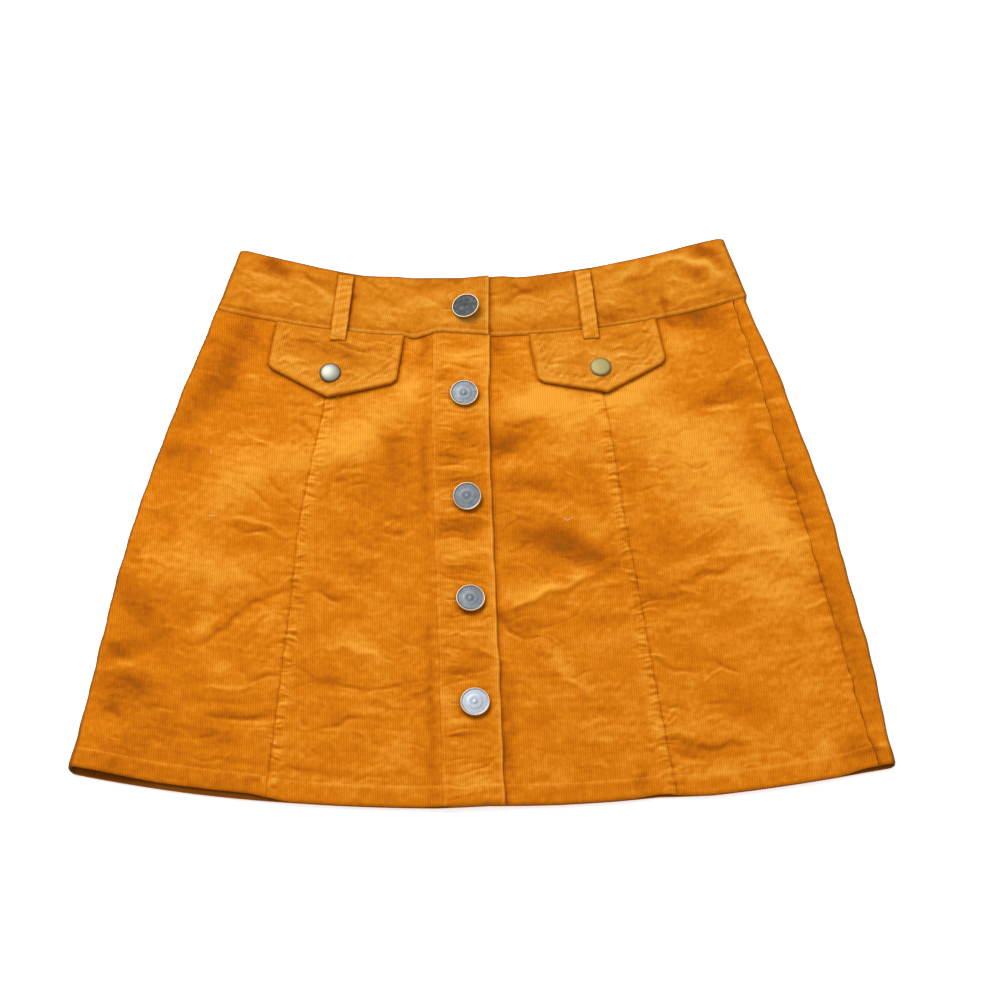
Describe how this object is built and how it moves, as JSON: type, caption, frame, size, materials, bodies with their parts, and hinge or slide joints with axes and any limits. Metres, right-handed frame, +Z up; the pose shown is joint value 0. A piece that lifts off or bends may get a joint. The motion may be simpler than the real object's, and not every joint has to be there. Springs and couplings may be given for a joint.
{
  "type": "a-line skirt",
  "caption": "Short A-line corduroy skirt laid flat, with a waistband, button placket, princess seams, pointed mock pocket flaps and belt loops.",
  "frame": {"origin": "middle of the skirt's footprint, on the surface that it lies on", "axes": "+X across the skirt to the right as seen from above with the hem nearest, +Y from the hem to the waist, +Z up out of the front"},
  "size_m": [0.551, 0.4356, 0.0157],
  "materials": {
    "corduroy": "fine 16-wale corduroy, brushed cotton pile with a soft nap, mustard orange",
    "pewter": "antique pewter plating with a lighter worn rim",
    "silver": "satin silver dome",
    "brass": "dull antique brass"
  },
  "bodies": {
    "root": {"back_panel": "corduroy", "front_side_left": "corduroy", "front_centre_left": "corduroy", "front_centre_right": "corduroy", "front_side_right": "corduroy", "placket": "corduroy", "waistband": "corduroy", "flap_left": "corduroy", "flap_right": "corduroy", "belt_loop_left": "corduroy", "belt_loop_right": "corduroy", "button_1": "pewter", "button_2": "pewter", "button_3": "pewter", "button_4": "pewter", "button_5": "pewter", "snap_left": "silver", "snap_right": "brass"}
  },
  "joints": []
}
